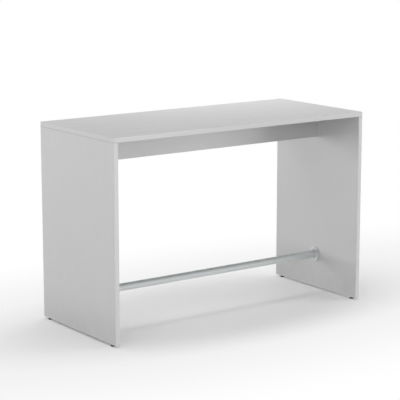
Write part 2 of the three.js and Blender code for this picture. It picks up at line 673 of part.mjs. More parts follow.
// Cams, bolts and dowels between the stretcher rail and the legs
const railCam = camSolid(railSide);
for (const { name, sign } of SIDES) {
  const outward = RIGHTWARD.clone().multiplyScalar(sign);
  const inward = RIGHTWARD.clone().multiplyScalar(-sign);
  const camOrigin = new THREE.Vector3(sign * (LEG_INNER_FACE - CAM_SETBACK), railSide, RAIL_MIDDLE);
  const boltOrigin = new THREE.Vector3(sign * LEG_INNER_FACE, 0, RAIL_MIDDLE);
  add(`${name}_rail_cam`, railCam, camMaterial, camOrigin, BACKWARD, outward);
  add(`${name}_rail_cam_bolt`, camBolt, screwMaterial, boltOrigin, inward, UP);
  for (const height of railDowelHeights) {
    const dowelOrigin = new THREE.Vector3(sign * LEG_INNER_FACE, 0, height.z);
    add(`${name}_rail_dowel_${height.name}`, dowel, dowelMaterial, dowelOrigin, inward, UP);
  }
}

export default table;
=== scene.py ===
import math

import bpy
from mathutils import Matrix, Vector


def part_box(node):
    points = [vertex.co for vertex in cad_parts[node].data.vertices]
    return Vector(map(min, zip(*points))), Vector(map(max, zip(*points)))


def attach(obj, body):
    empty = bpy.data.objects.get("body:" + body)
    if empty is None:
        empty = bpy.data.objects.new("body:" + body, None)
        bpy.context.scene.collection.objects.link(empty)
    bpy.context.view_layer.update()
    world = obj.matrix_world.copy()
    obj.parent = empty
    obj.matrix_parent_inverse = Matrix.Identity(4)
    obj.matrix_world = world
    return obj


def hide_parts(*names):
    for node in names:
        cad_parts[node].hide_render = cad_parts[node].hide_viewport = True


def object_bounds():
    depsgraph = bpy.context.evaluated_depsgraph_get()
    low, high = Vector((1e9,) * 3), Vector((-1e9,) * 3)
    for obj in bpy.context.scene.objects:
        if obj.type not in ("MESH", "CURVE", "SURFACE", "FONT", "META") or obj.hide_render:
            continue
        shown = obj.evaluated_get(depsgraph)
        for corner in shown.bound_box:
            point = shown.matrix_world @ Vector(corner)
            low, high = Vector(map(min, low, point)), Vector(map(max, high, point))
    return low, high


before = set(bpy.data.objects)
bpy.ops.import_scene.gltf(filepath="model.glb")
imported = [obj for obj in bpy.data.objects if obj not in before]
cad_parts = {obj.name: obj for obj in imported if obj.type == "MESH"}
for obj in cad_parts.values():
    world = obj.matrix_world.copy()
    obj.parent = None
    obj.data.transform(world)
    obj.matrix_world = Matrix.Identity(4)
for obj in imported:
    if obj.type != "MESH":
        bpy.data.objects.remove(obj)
cad_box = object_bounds()
bpy.ops.object.select_all(action="DESELECT")


# Viewpoint: a long lens a little above the tabletop, off the front left corner of the table.
# It stands about eight metres away, so the upright edges lean in only a little.
LENS_PLACE = (-4.67478, -6.39723, 2.15691)
LENS_DIP = math.radians(11.1198)
LENS_TURN = math.radians(35.9624)
bpy.ops.object.camera_add(location=LENS_PLACE, rotation=(math.pi / 2 - LENS_DIP, 0, -LENS_TURN))
viewpoint = bpy.context.object
viewpoint.name = "viewpoint"
viewpoint.data.sensor_width = 36
viewpoint.data.lens = 135.80
bpy.context.scene.camera = viewpoint
bpy.context.scene.view_settings.view_transform = "Standard"


# Studio: a white room with a grey ceiling and a matt white floor that runs out of sight. Large softboxes
# stand left, right and behind, one hangs overhead, and two small ones light the top and the left leg.
# Nothing of it is part of the table.
class Shade:
    """One value of a finish: an output socket in its node tree. Arithmetic on it adds Math nodes."""

    def __init__(self, tree, socket=None):
        self.tree = tree
        self.socket = socket

    def node(self, kind, settings=None, inputs=None, output=0):
        """A new node with its settings and inputs, as the value of one of its outputs."""
        made = self.tree.nodes.new("ShaderNode" + kind)
        for key, value in (settings or {}).items():
            setattr(made, key, value)
        for key, value in (inputs or {}).items():
            if isinstance(value, Shade):
                self.tree.links.new(value.socket, made.inputs[key])
            else:
                made.inputs[key].default_value = value
        return Shade(self.tree, made.outputs[output] if made.outputs else None)

    def math(self, operation, first, second=0.0):
        return self.node("Math", {"operation": operation}, {0: first, 1: second})

    def __add__(self, other):
        return self.math("ADD", self, other)

    def __sub__(self, other):
        return self.math("SUBTRACT", self, other)

    def __rsub__(self, other):
        return self.math("SUBTRACT", other, self)

    def __mul__(self, other):
        return self.math("MULTIPLY", self, other)

    def __abs__(self):
        return self.math("ABSOLUTE", self)

    __radd__ = __add__
    __rmul__ = __mul__

    def fade(self, start, end):
        """0 at start and 1 at end, eased between them."""
        return self.node(
            "MapRange",
            {"interpolation_type": "SMOOTHSTEP"},
            {"Value": self, "From Min": start, "From Max": end},
        )

    def blend(self, first, second):
        """The first colour where this is 0 and the second where it is 1."""
        return self.node("Mix", {"data_type": "RGBA"}, {0: self, 6: first, 7: second}, 2)


def paint(code):
    """A colour as it is seen, written as on a paint chart, in the linear values that a shader takes."""
    seen = [int(code[i : i + 2], 16) / 255 for i in (1, 3, 5)]
    return (*[s / 12.92 if s <= 0.04045 else ((s + 0.055) / 1.055) ** 2.4 for s in seen], 1)


def bare_tree(owner):
    """The emptied node tree of a finish or of the room."""
    owner.use_nodes = True
    owner.node_tree.nodes.clear()
    return Shade(owner.node_tree)


def seen_straight(tree):
    """1 for what the lens, a mirror or a glass shows, and 0 for the light that a surface gathers."""
    rays = ("Is Camera Ray", "Is Glossy Ray", "Is Transmission Ray")
    lens, mirror, glass = [tree.node("LightPath", output=ray) for ray in rays]
    return lens + mirror + glass


def softbox(name, place, aim, size, watts):
    """A lamp behind a white cloth, out of the lens's sight."""
    bpy.ops.object.light_add(type="AREA", location=place)
    lamp = bpy.context.object
    lamp.name = name
    lamp.rotation_euler = (Vector(aim) - Vector(place)).to_track_quat("-Z", "Y").to_euler()
    lamp.data.shape = "RECTANGLE"
    lamp.data.size, lamp.data.size_y = size
    lamp.data.energy = watts
    lamp.visible_camera = lamp.visible_glossy = False


softbox("left_softbox", place=(-5, -2.4, 1.1), aim=(0, 0, 0.7), size=(3.2, 2.4), watts=62)
softbox("right_softbox", place=(4.8, -3, 0.7), aim=(0, 0, 0.7), size=(2, 1.4), watts=170)
softbox("back_softbox", place=(-2, 4.4, 1.1), aim=(0.3, 0, 0.6), size=(5, 2.4), watts=136)
softbox("hanging_softbox", place=(0, 1.5, 4), aim=(0, 0, 0.8), size=(6, 5), watts=11)
softbox("top_softbox", place=(0.5, 0.8, 1.95), aim=(0.4, 0.5, 1.05), size=(1.6, 0.6), watts=8.4)
softbox("leg_softbox", place=(-1, -1.9, 0.85), aim=(-0.8, -0.35, 0.8), size=(0.7, 1.4), watts=8)

WHITE = (1, 1, 1, 1)
WALL_TOP, CEILING_EDGE = 0.05, 0.18
room = bpy.data.worlds.new("white_room")
bpy.context.scene.world = room
tree = bare_tree(room)
height = tree.node("SeparateXYZ", inputs={0: tree.node("TexCoord", output="Generated")}, output="Z")
wall = height.fade(WALL_TOP, CEILING_EDGE).blend(WHITE, paint("#c8c8c8"))
tree.node("OutputWorld", inputs={0: tree.node("Background", inputs={"Color": wall})})

# Reach counts in ovals round the table: it is 1 on the oval that touches the table's ends and sides.
TABLE_OVAL = (cad_box[1].x, cad_box[1].y, 1)
LIT_REACH, PLAIN_REACH = 1, 2.2
PALE_REACH, WHITE_REACH = 1.3, 4.5
bpy.ops.mesh.primitive_plane_add(size=60)
floor = bpy.context.object
floor.name = "studio_floor"
matt_floor = bpy.data.materials.new("matt_floor")
tree = bare_tree(matt_floor)
spot = tree.node("TexCoord", output="Object")
spread = tree.node("VectorMath", {"operation": "DIVIDE"}, {0: spot, 1: TABLE_OVAL})
reach = tree.node("VectorMath", {"operation": "LENGTH"}, {0: spread}, "Value")
near_floor = tree.node("BsdfDiffuse", inputs={"Color": paint("#ebebeb")})
far_white = reach.fade(PALE_REACH, WHITE_REACH).blend(paint("#f0f0f0"), WHITE)
far_floor = tree.node("Emission", inputs={"Color": far_white})
plain = reach.fade(LIT_REACH, PLAIN_REACH)
shown = tree.node("MixShader", inputs={0: plain, 1: near_floor, 2: far_floor})
gathered = tree.node("BsdfDiffuse", inputs={"Color": paint("#7c7c7c")})
both = tree.node("MixShader", inputs={0: seen_straight(tree), 1: gathered, 2: shown})
tree.node("OutputMaterial", inputs={"Surface": both})
floor.data.materials.append(matt_floor)


# Leg panels: upright chipboard, faced on both sides with light grey melamine pressed with a fine pearl
# grain. They are sawn to size and drilled for the fittings, and bare chips show wherever they are cut.
leg_low, leg_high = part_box("right_leg_panel")
LEG_FACE = leg_low.x
BOARD_HALF = (leg_high.x - leg_low.x) / 2
MELAMINE = 0.0003
SHADE_AND_SCUFF_HEIGHT = 0.24


def centre(node):
    """The middle of a CAD node's box."""
    low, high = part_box(node)
    return (low + high) / 2


def finish(name):
    """A new finish: its material, its node tree, and its place in the table's own metres."""
    made = bpy.data.materials.new(name)
    made.use_nodes = True
    tree = Shade(made.node_tree)
    return made, tree, tree.node("TexCoord", output="Object")


def coat(made, **inputs):
    """Sets or links the sockets of a finish's own shader."""
    shader = made.node_tree.nodes["Principled BSDF"]
    for key, value in inputs.items():
        socket = shader.inputs[key.replace("_", " ")]
        if isinstance(value, Shade):
            made.node_tree.links.new(value.socket, socket)
        else:
            socket.default_value = value
    return made


def grain(tree, place, scale, detail=2.0, stretch=(1, 1, 1)):
    """Soft random grain from 0 to 1. Scale is in grains per metre, and a small stretch draws them out."""
    spot = tree.node("VectorMath", {"operation": "MULTIPLY"}, {0: place, 1: stretch})
    return tree.node("TexNoise", inputs={"Vector": spot, "Scale": scale, "Detail": detail})


def along(tree, place, axis):
    """One coordinate of the table, in metres."""
    return tree.node("SeparateXYZ", inputs={0: place}, output=axis)


def relief(tree, height, depth, under=None):
    """A raised pattern, whose depth is in metres, over another one if there is one under it."""
    inputs = {"Height": height, "Distance": depth, "Strength": 1.0}
    if under:
        inputs["Normal"] = under
    return tree.node("Bump", inputs=inputs)


def board_finish(name, axis, middle):
    """Melamine on the faces, darker towards the floor with painted shade and partly with scuffs, and bare
    chips inside them. Middle is where the board's own middle lies along an axis."""
    made, tree, place = finish(name)
    depth = BOARD_HALF - abs(abs(along(tree, place, axis)) - middle)
    cut = depth.fade(MELAMINE, MELAMINE + 0.0002)
    cloud = grain(tree, place, 4)
    pearl = grain(tree, place, 1137).fade(0.3, 0.7)
    wiped = grain(tree, place, 24, 3.0, (0.2, 1, 0.5))
    # Painted shade, partly scuffs: the faces darken in patches towards the floor.
    low_shade_and_scuffs = (1 - along(tree, place, "Z").fade(0, SHADE_AND_SCUFF_HEIGHT)) * (0.1 + wiped * 0.7)
    tone = cloud * 0.5 + pearl * 0.5
    face = low_shade_and_scuffs.blend(tone.blend(paint("#c9c9c9"), paint("#d0d0d0")), paint("#b7b7b6"))
    chips = tree.node("TexVoronoi", inputs={"Vector": place, "Scale": 420.0}, output="Color")
    chip = tree.node("RGBToBW", inputs={0: chips})
    core = chip.blend(paint("#a98a5c"), paint("#dcc596"))
    pressed = relief(tree, pearl * (1 - cut), 0.000015)
    return coat(
        made,
        Base_Color=cut.blend(face, core),
        Roughness=0.26 + pearl * 0.06 + wiped * 0.02 + cut * 0.5,
        Normal=relief(tree, chip * cut, 0.0003, pressed),
    )


def dress(made, *nodes):
    """Gives CAD nodes their finish."""
    for node in nodes:
        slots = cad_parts[node].data.materials
        slots.clear()
        slots.append(made)


LEG_MIDDLE = centre("right_leg_panel").x
upright_board = board_finish("upright_board", "X", LEG_MIDDLE)
dress(upright_board, "left_leg_panel", "right_leg_panel")


# Leg bands: strips of light grey plastic glued to the edges of the legs with hot melt, trimmed flush and
# scraped to a small round along both arrises. A hairline of glue shows between band and board.
ARRIS_RADIUS = 0.0015
GLUE_LINE = 0.00025
GROOVE = 0.001
BAND_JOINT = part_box("right_leg_edge_back")[0].y
SOLE_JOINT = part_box("right_leg_edge_sole")[1].z
SIDES = {"left": -1, "right": 1}
ENDS = {"front": -1, "back": 1}
HAIR = 1e-5


def alone(piece):
    """Makes a piece the only selected one, out of edit mode."""
    if bpy.context.mode != "OBJECT":
        bpy.ops.object.mode_set(mode="OBJECT")
    bpy.ops.object.select_all(action="DESELECT")
    piece.select_set(True)
    bpy.context.view_layer.objects.active = piece


def block(name, low, high):
    """A rectangular block between two opposite corners."""
    low, high = Vector(low), Vector(high)
    bpy.ops.mesh.primitive_cube_add(size=1, location=(low + high) / 2, scale=high - low)
    piece = bpy.context.object
    piece.name = name
    alone(piece)
    bpy.ops.object.transform_apply()
    return piece


def pick(piece, kind, wanted):
    """Selects the corners, edges or faces of a piece whose corner points are all wanted, in edit mode."""
    alone(piece)
    bpy.ops.object.mode_set(mode="EDIT")
    bpy.ops.mesh.select_mode(type=kind)
    bpy.ops.mesh.select_all(action="DESELECT")
    bpy.ops.object.mode_set(mode="OBJECT")
    mesh = piece.data
    for part in {"VERT": mesh.vertices, "EDGE": mesh.edges, "FACE": mesh.polygons}[kind]:
        corners = [part.index] if kind == "VERT" else part.vertices
        part.select = wanted([mesh.vertices[corner].co for corner in corners])
    bpy.ops.object.mode_set(mode="EDIT")


def level(ends, axis, *places):
    """True where all points lie within a hair of one of these places along an axis."""
    return any(all(abs(getattr(end, axis) - place) < HAIR for end in ends) for place in places)


def upright(ends):
    """True for an edge that stands straight up."""
    return level(ends, "x", ends[0].x) and level(ends, "y", ends[0].y)


def round_off(piece, radius, wanted, steps=5):
    """Rounds the wanted edges of a piece."""
    pick(piece, "EDGE", wanted)
    bpy.ops.mesh.bevel(offset=radius, segments=steps, affect="EDGES")
    bpy.ops.object.mode_set(mode="OBJECT")


def saw(piece, at, beyond):
    """Saws off what lies beyond a plane and closes the cut."""
    pick(piece, "FACE", lambda ends: True)
    bpy.ops.mesh.bisect(plane_co=at, plane_no=beyond, use_fill=True, clear_outer=True, threshold=1e-7)
    bpy.ops.object.mode_set(mode="OBJECT")


def copy(piece, name):
    """Another piece like this one, with its own mesh."""
    alone(piece)
    bpy.ops.object.duplicate()
    twin = bpy.context.object
    twin.name = name
    return twin


def scrap(*pieces):
    """Throws away patterns that have been copied, and tools that have been used."""
    for piece in pieces:
        bpy.data.objects.remove(piece)


def sawn_edge(slab, name, joint, outward):
    """The edge of a slab, sawn off at its joint as a piece of its own. Outward is the way that it faces."""
    edge = copy(slab, name)
    saw(edge, joint * Vector(outward), -Vector(outward))
    return edge


def seat(piece, made, slot, body, *nodes):
    """Gives a piece its finish and smooth shading, and lets it move with a body and stand for CAD nodes."""
    alone(piece)
    piece.data.materials.clear()
    piece.data.materials.append(made)
    bpy.ops.object.shade_smooth_by_angle(angle=math.radians(40))
    piece.modifiers.new("even_shading", "WEIGHTED_NORMAL").keep_sharp = True
    bpy.ops.object.modifier_apply(modifier="even_shading")
    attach(piece, body)
    if nodes:
        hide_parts(*nodes)


def band_finish(name, run, axis, joint, across, middle, groove=None):
    """The plastic of a band that runs along one axis. Joint is where its glue line lies along another axis,
    middle is where the board's own middle lies across the band, and groove is the height of the groove over
    the legs, where shade is painted into the plastic as a dark line."""
    made, tree, place = finish(name)
    scraped = grain(tree, place, 30, stretch=[1 if letter == run else 40 for letter in "XYZ"])
    pearl = grain(tree, place, 1400).fade(0.3, 0.7)
    tone = scraped * 0.5 + pearl * 0.5
    from_joint = abs(along(tree, place, axis)) - joint
    from_middle = abs(abs(along(tree, place, across)) - middle)
    flat = BOARD_HALF - ARRIS_RADIUS
    arris = abs(from_joint).fade(0.0005, 0.0009) * from_middle.fade(flat, flat + 0.0004)
    worn = arris * grain(tree, place, 60, 5.0).fade(0.48, 0.7)
    plastic = worn.blend(tone.blend(paint("#cacaca"), paint("#d3d3d3")), paint("#d9d9d8"))
    glue = 1 - abs(from_joint).fade(0.2 * GLUE_LINE, GLUE_LINE)
    colour = glue.blend(plastic, paint("#9b9a97"))
    if groove:
        # Painted shade: a near-black line along the groove where the band lies over the legs.
        over_leg = abs(along(tree, place, "X")).fade(LEG_FACE - 0.001, LEG_FACE + 0.001)
        above = along(tree, place, "Z") - groove
        painted_groove_shade = over_leg * (1 - above.fade(0.6 * GROOVE, 1.4 * GROOVE))
        colour = painted_groove_shade.blend(colour, paint("#2b2a29"))
    return coat(
        made,
        Base_Color=colour,
        Roughness=0.32 + scraped * 0.12 + arris * 0.08 - worn * 0.12,
        Normal=relief(tree, tone, 0.00002),
    )


leg_band = band_finish("leg_band", run="Z", axis="Y", joint=BAND_JOINT, across="X", middle=LEG_MIDDLE)
sole_band = band_finish("sole_band", run="Y", axis="Z", joint=SOLE_JOINT, across="X", middle=LEG_MIDDLE)
for side in SIDES:
    low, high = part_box(f"{side}_leg_edge_front")
    slab = block("leg_slab", low, (high.x, -low.y, high.z))
    round_off(slab, ARRIS_RADIUS, upright)
    for end, sign in ENDS.items():
        band = sawn_edge(slab, f"{side}_leg_band_{end}", BAND_JOINT, (0, sign, 0))
        seat(band, leg_band, "edge_band", "table", f"{side}_leg_edge_{end}")
    scrap(slab)
    dress(sole_band, f"{side}_leg_edge_sole")


# Levelling feet: a barbed zinc-plated sleeve knocked into the sole of the leg, a screw of blackened steel
# with a hexagon for a spanner, and a pad of moulded black plastic pressed over the button at the screw's
# lower end.
CORNERS = [f"{end}_{side}" for side in SIDES for end in ENDS]


def span_mm(node, axis):
    """The lowest and the highest place of a CAD node along an axis, in mm."""
    return [round(getattr(corner, axis) * 1000, 3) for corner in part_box(node)]


def in_outline(out, up):
    """A point or a step of half an outline, from mm outwards and upwards."""
    return Vector((out, 0, up)) / 1000


def one_point(name, place):
    """A new piece that is a single point, left in edit mode to be drawn out."""
    bpy.ops.object.select_all(action="DESELECT")
    bpy.ops.mesh.primitive_plane_add(size=0.001)
    piece = bpy.context.object
    piece.name = name
    bpy.ops.object.mode_set(mode="EDIT")
    bpy.ops.mesh.select_mode(type="VERT")
    bpy.ops.mesh.merge(type="CENTER")
    bpy.ops.transform.translate(value=place)
    return piece


def draw_out(step):
    """Draws a line of one step from the selected point, and selects its end."""
    bpy.ops.mesh.extrude_region_move(TRANSFORM_OT_translate={"value": step})


def turned(name, outline, rounded=(), steps=72):
    """A piece turned about z from half its outline, in mm of radius and height. Rounded gives the points
    of the outline that are rounded off, with their radius."""
    points = [in_outline(*point) for point in outline]
    piece = one_point(name, points[0])
    for last, point in zip(points, points[1:]):
        draw_out(point - last)
    for point, radius in rounded:
        at = in_outline(*point)
        pick(piece, "VERT", lambda ends: (ends[0] - at).length < HAIR)
        bpy.ops.mesh.bevel(offset=radius / 1000, segments=5, affect="VERTICES")
    pick(piece, "VERT", lambda ends: True)
    bpy.ops.mesh.spin(steps=steps, angle=2 * math.pi, center=(0, 0, 0), axis=(0, 0, 1))
    bpy.ops.mesh.select_all(action="SELECT")
    bpy.ops.mesh.remove_doubles(threshold=1e-6)
    bpy.ops.mesh.normals_make_consistent(inside=False)
    bpy.ops.object.mode_set(mode="OBJECT")
    return piece


def threaded(name, radius, depth, pitch, low, high, steps=32):
    """A right-hand screw thread about z, in mm: one turn's zigzag wound up and sawn flat at both ends."""
    flank, crest, root = 0.42 * pitch, 0.12 * pitch, 0.04 * pitch
    piece = one_point(name, in_outline(radius - depth, low - pitch))
    for out, up in ((depth, flank), (0, crest), (-depth, flank), (0, root)):
        draw_out(in_outline(out, up))
    bpy.ops.object.mode_set(mode="OBJECT")
    winding = piece.modifiers.new("winding", "SCREW")
    winding.axis = "Z"
    winding.screw_offset = pitch / 1000
    winding.iterations = math.ceil((high - low) / pitch) + 2
    winding.steps = winding.render_steps = steps
    bpy.ops.object.modifier_apply(modifier="winding")
    pick(piece, "FACE", lambda ends: True)
    bpy.ops.mesh.remove_doubles(threshold=1e-6)
    saw(piece, (0, 0, low / 1000), (0, 0, -1))
    saw(piece, (0, 0, high / 1000), (0, 0, 1))
    pick(piece, "FACE", lambda ends: True)
    bpy.ops.mesh.normals_make_consistent(inside=False)
    bpy.ops.object.mode_set(mode="OBJECT")
    return piece


def narrow(piece, share, wanted):
    """Draws the wanted points of a piece in towards the z axis, to a share of their distance from it."""
    pick(piece, "VERT", wanted)
    bpy.ops.transform.resize(value=(share, share, 1), center_override=(0, 0, 0))
    bpy.ops.object.mode_set(mode="OBJECT")


def shape_with(piece, tool, operation="UNION"):
    """Makes a piece one with another, cuts it with that or keeps what the two share. The other is used
    up."""
    alone(piece)
    shaping = piece.modifiers.new("shaping", "BOOLEAN")
    shaping.operation = operation
    shaping.solver = "EXACT"
    shaping.object = tool
    bpy.ops.object.modifier_apply(modifier="shaping")
    scrap(tool)


def hexagon(name, across, low, high):
    """A hexagon bar about z, in mm across its flats."""
    bpy.ops.mesh.primitive_cylinder_add(
        vertices=6,
        radius=across / 2000 / math.cos(math.pi / 6),
        depth=(high - low) / 1000,
        location=(0, 0, (low + high) / 2000),
    )
    piece = bpy.context.object
    piece.name = name
    alone(piece)
    bpy.ops.object.transform_apply()
    return piece


def set_down(piece, origin, facing=(0, 0, 1)):
    """Turns a piece's own z axis to face a direction, moves it to its place and leaves it in its mesh."""
    alone(piece)
    piece.rotation_euler = Vector(facing).to_track_quat("Z", "Y").to_euler()
    piece.location = origin
    bpy.ops.object.transform_apply()


def plated_finish(name, dull, bright, rough):
    """A plated metal whose sheen varies a little from place to place."""
    made, tree, place = finish(name)
    bloom = grain(tree, place, 220, 3.0)
    handled = grain(tree, place, 35)
    return coat(
        made,
        Base_Color=bloom.blend(paint(dull), paint(bright)),
        Roughness=rough + bloom * 0.08 + handled * 0.06,
        Metallic=1.0,
        Normal=relief(tree, bloom, 0.00002),
    )


zinc = plated_finish("bright_zinc", "#b7babd", "#cfd0ce", 0.26)
blackened_steel = plated_finish("blackened_steel", "#252628", "#38393b", 0.34)

black_plastic, tree, place = finish("black_moulded_plastic")
spark = grain(tree, place, 2600)
low_down = 1 - along(tree, place, "Z").fade(0.0005, 0.002)
scuffed = grain(tree, place, 160, 4.0).fade(0.55, 0.75) * low_down
coat(
    black_plastic,
    Base_Color=scuffed.blend(spark.blend(paint("#141415"), paint("#1d1d1e")), paint("#3a3a39")),
    Roughness=0.46 + spark * 0.12 + scuffed * 0.15,
    Normal=relief(tree, spark, 0.00004),
)

# The sleeve, in mm.
SLEEVE_LOW, SLEEVE_TOP = span_mm("front_left_foot_sleeve", "z")
SOLE, _ = span_mm("left_leg_edge_sole", "z")
SLEEVE_BORE, SLEEVE_RIM = 4.3, 9.5
BARB_ROOT, BARB_TIP = 6.5, 7.1
BARBS = 3
barb_height = (SLEEVE_TOP - SOLE) / BARBS
outline = [(SLEEVE_BORE, SLEEVE_LOW), (SLEEVE_RIM, SLEEVE_LOW), (SLEEVE_RIM, SOLE)]
for barb in range(BARBS):
    tip_height = SOLE + barb * barb_height
    outline += [(BARB_TIP, tip_height), (BARB_ROOT, tip_height + barb_height)]
outline += [(SLEEVE_BORE, SLEEVE_TOP), (SLEEVE_BORE, SLEEVE_LOW)]
sleeve = turned("barbed_sleeve", outline, [((SLEEVE_RIM, SLEEVE_LOW), 0.35), ((SLEEVE_RIM, SOLE), 0.2)])

# The screw, in mm, with its button, neck, hexagon nut and threaded spindle.
BUTTON_LOW, SPINDLE_TOP = span_mm("front_left_foot_stem", "z")
BUTTON_TOP = 3.6
BUTTON_RADIUS = 6
NECK_RADIUS = 3.5
NUT_LOW, NUT_TOP = 5.7, 8.7
NUT_ACROSS = 14
NUT_ROUND = 8.4
NUT_CHAMFER = 0.8
SPINDLE_TIP = 0.8
screw = turned(
    "levelling_screw",
    [
        (0, BUTTON_LOW),
        (BUTTON_RADIUS, BUTTON_LOW),
        (BUTTON_RADIUS, BUTTON_TOP),
        (NECK_RADIUS, BUTTON_TOP),
        (NECK_RADIUS, NUT_LOW + NUT_CHAMFER),
        (0, NUT_LOW + NUT_CHAMFER),
    ],
    [((BUTTON_RADIUS, BUTTON_LOW), 0.5), ((BUTTON_RADIUS, BUTTON_TOP), 0.3)],
)
nut = hexagon("foot_nut", NUT_ACROSS, NUT_LOW, NUT_TOP)
corners_off = turned(
    "nut_chamfer",
    [
        (0, NUT_LOW),
        (NUT_ACROSS / 2, NUT_LOW),
        (NUT_ROUND, NUT_LOW + NUT_CHAMFER),
        (NUT_ROUND, NUT_TOP - NUT_CHAMFER),
        (NUT_ACROSS / 2, NUT_TOP),
        (0, NUT_TOP),
    ],
)
shape_with(nut, corners_off, "INTERSECT")
spindle = threaded("foot_spindle", radius=4, depth=0.68, pitch=1.25, low=NUT_TOP - 0.1, high=SPINDLE_TOP)
narrow(spindle, share=0.82, wanted=lambda ends: ends[0].z > (SPINDLE_TOP - SPINDLE_TIP) / 1000)
shape_with(screw, nut)
shape_with(screw, spindle)

# The pad, in mm. A pocket in it holds the button with a little play, and its sole is hollowed and grooved.
_, PAD_TOP = span_mm("front_left_foot_pad", "z")
pad_left, pad_right = span_mm("front_left_foot_pad", "x")
PAD_RADIUS = (pad_right - pad_left) / 2
PAD_SLOPE = 1.6
PAD_PLAY = 0.3
POCKET_RADIUS = BUTTON_RADIUS + PAD_PLAY
POCKET_LOW = BUTTON_LOW - PAD_PLAY
POCKET_TOP = BUTTON_TOP + PAD_PLAY
MOUTH_RADIUS = NECK_RADIUS + PAD_PLAY
SOLE_GROOVE = 0.4
DIMPLE_RADIUS = 3.8
RING_RADIUS = 8
rim = (PAD_RADIUS, 0)
shoulder = (PAD_RADIUS, PAD_TOP - PAD_SLOPE)
crown = (PAD_RADIUS - PAD_SLOPE, PAD_TOP)
pad = turned(
    "moulded_pad",
    [
        (0, SOLE_GROOVE),
        (DIMPLE_RADIUS - SOLE_GROOVE, SOLE_GROOVE),
        (DIMPLE_RADIUS, 0),
        (RING_RADIUS - 2 * SOLE_GROOVE, 0),
        (RING_RADIUS - SOLE_GROOVE, SOLE_GROOVE),
        (RING_RADIUS + SOLE_GROOVE, SOLE_GROOVE),
        (RING_RADIUS + 2 * SOLE_GROOVE, 0),
        rim,
        shoulder,
        crown,
        (MOUTH_RADIUS, PAD_TOP),
        (MOUTH_RADIUS, POCKET_TOP),
        (POCKET_RADIUS, POCKET_TOP),
        (POCKET_RADIUS, POCKET_LOW),
        (0, POCKET_LOW),
    ],
    [(rim, 0.8), (shoulder, 0.9), (crown, 0.9)],
    steps=96,
)
GRIP_RIBS = 24
GRIP_DEPTH = 0.4


def turns_round(point):
    """How far a point lies round the z axis, in turns."""
    return math.atan2(point.y, point.x) / (2 * math.pi)


def grip_groove(ends):
    """The faces of the pad's rim that are sunk between its grip ribs."""
    on_rim = all(math.hypot(end.x, end.y) > (PAD_RADIUS - 0.1) / 1000 for end in ends)
    return on_rim and turns_round(sum(ends, Vector())) * GRIP_RIBS % 1 < 0.5


pick(pad, "FACE", grip_groove)
bpy.ops.mesh.inset(thickness=GRIP_DEPTH / 2000, use_even_offset=True)
bpy.ops.transform.shrink_fatten(value=-GRIP_DEPTH / 1000)
bpy.ops.object.mode_set(mode="OBJECT")

for corner in CORNERS:
    axis = (*centre(f"{corner}_foot_pad").xy, 0)
    for pattern, made, slot, body, node in (
        (sleeve, zinc, "screw", "table", "foot_sleeve"),
        (screw, blackened_steel, "stem", f"{corner}_stem", "foot_stem"),
        (pad, black_plastic, "foot_pad", f"{corner}_pad", "foot_pad"),
    ):
        piece = copy(pattern, f"{corner}_{pattern.name}")
        set_down(piece, axis)
        seat(piece, made, slot, body, f"{corner}_{node}")
scrap(sleeve, screw, pad)


# Stretcher rail: a strip of the same board on edge between the legs, under the top, which keeps the table
# from swaying. Its lower edge is banded; its ends and upper edge are bare and butt against other boards.
RAIL_MIDDLE = centre("stretcher_rail").y
rail_board = board_finish("rail_board", "Y", RAIL_MIDDLE)
dress(rail_board, "stretcher_rail")

low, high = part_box("stretcher_edge_bottom")
rail_band = block("stretcher_band", low, high)
round_off(rail_band, ARRIS_RADIUS, lambda ends: level(ends, "z", low.z) and level(ends, "y", ends[0].y))
rail_plastic = band_finish("rail_band", run="X", axis="Z", joint=high.z, across="Y", middle=RAIL_MIDDLE)
seat(rail_band, rail_plastic, "edge_band", "table", "stretcher_edge_bottom")


# Panel fittings: cams of die-cast zinc turn in blind holes and draw in steel bolts that are screwed into
# the next board. Fluted beech dowels beside them keep the boards in line. All sit inside the boards.
TOP_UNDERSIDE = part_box("tabletop")[0].z
DOWN = (0, 0, -1)
cast_zinc = plated_finish("cast_zinc", "#8e9194", "#a9abac", 0.42)

# The cam bolt, in mm from the face of the board that it is screwed into.
BOLT_RADIUS, BOLT_NECK = 3.5, 2
BOLT_SHANK, BOLT_HEAD, BOLT_REACH = 24.5, 29.7, 32.7
BOLT_GRIP = 11
BOLT_COLLAR = 0.5
bolt = turned(
    "cam_bolt",
    [
        (0, -BOLT_COLLAR),
        (BOLT_RADIUS, -BOLT_COLLAR),
        (BOLT_RADIUS, BOLT_SHANK),
        (BOLT_NECK, BOLT_SHANK),
        (BOLT_NECK, BOLT_HEAD),
        (BOLT_RADIUS, BOLT_HEAD),
        (BOLT_RADIUS, BOLT_REACH),
        (0, BOLT_REACH),
    ],
    [((BOLT_RADIUS, BOLT_SHANK), 0.5), ((BOLT_RADIUS, BOLT_REACH), 0.6)],
    steps=48,
)
shape_with(bolt, threaded("bolt_thread", radius=3, depth=0.7, pitch=1.8, low=-BOLT_GRIP, high=0, steps=24))

# The dowel, in metres from the joint between its two boards.
DOWEL_RADIUS = 0.004
DOWEL_LOW, DOWEL_TOP = -0.015, 0.025
FLUTES = 16
bpy.ops.mesh.primitive_cylinder_add(
    vertices=4 * FLUTES,
    radius=DOWEL_RADIUS,
    depth=DOWEL_TOP - DOWEL_LOW,
    location=(0, 0, (DOWEL_LOW + DOWEL_TOP) / 2),
)
dowel = bpy.context.object
dowel.name = "dowel"
alone(dowel)
bpy.ops.object.transform_apply()
round_off(dowel, DOWEL_RADIUS / 4, lambda ends: level(ends, "z", DOWEL_LOW, DOWEL_TOP), 3)


def flute(ends):
    """The bottoms of the flutes that let glue and air past the dowel."""
    turn = turns_round(ends[0]) * FLUTES
    return abs(turn - round(turn)) < 0.1


narrow(dowel, share=0.93, wanted=flute)


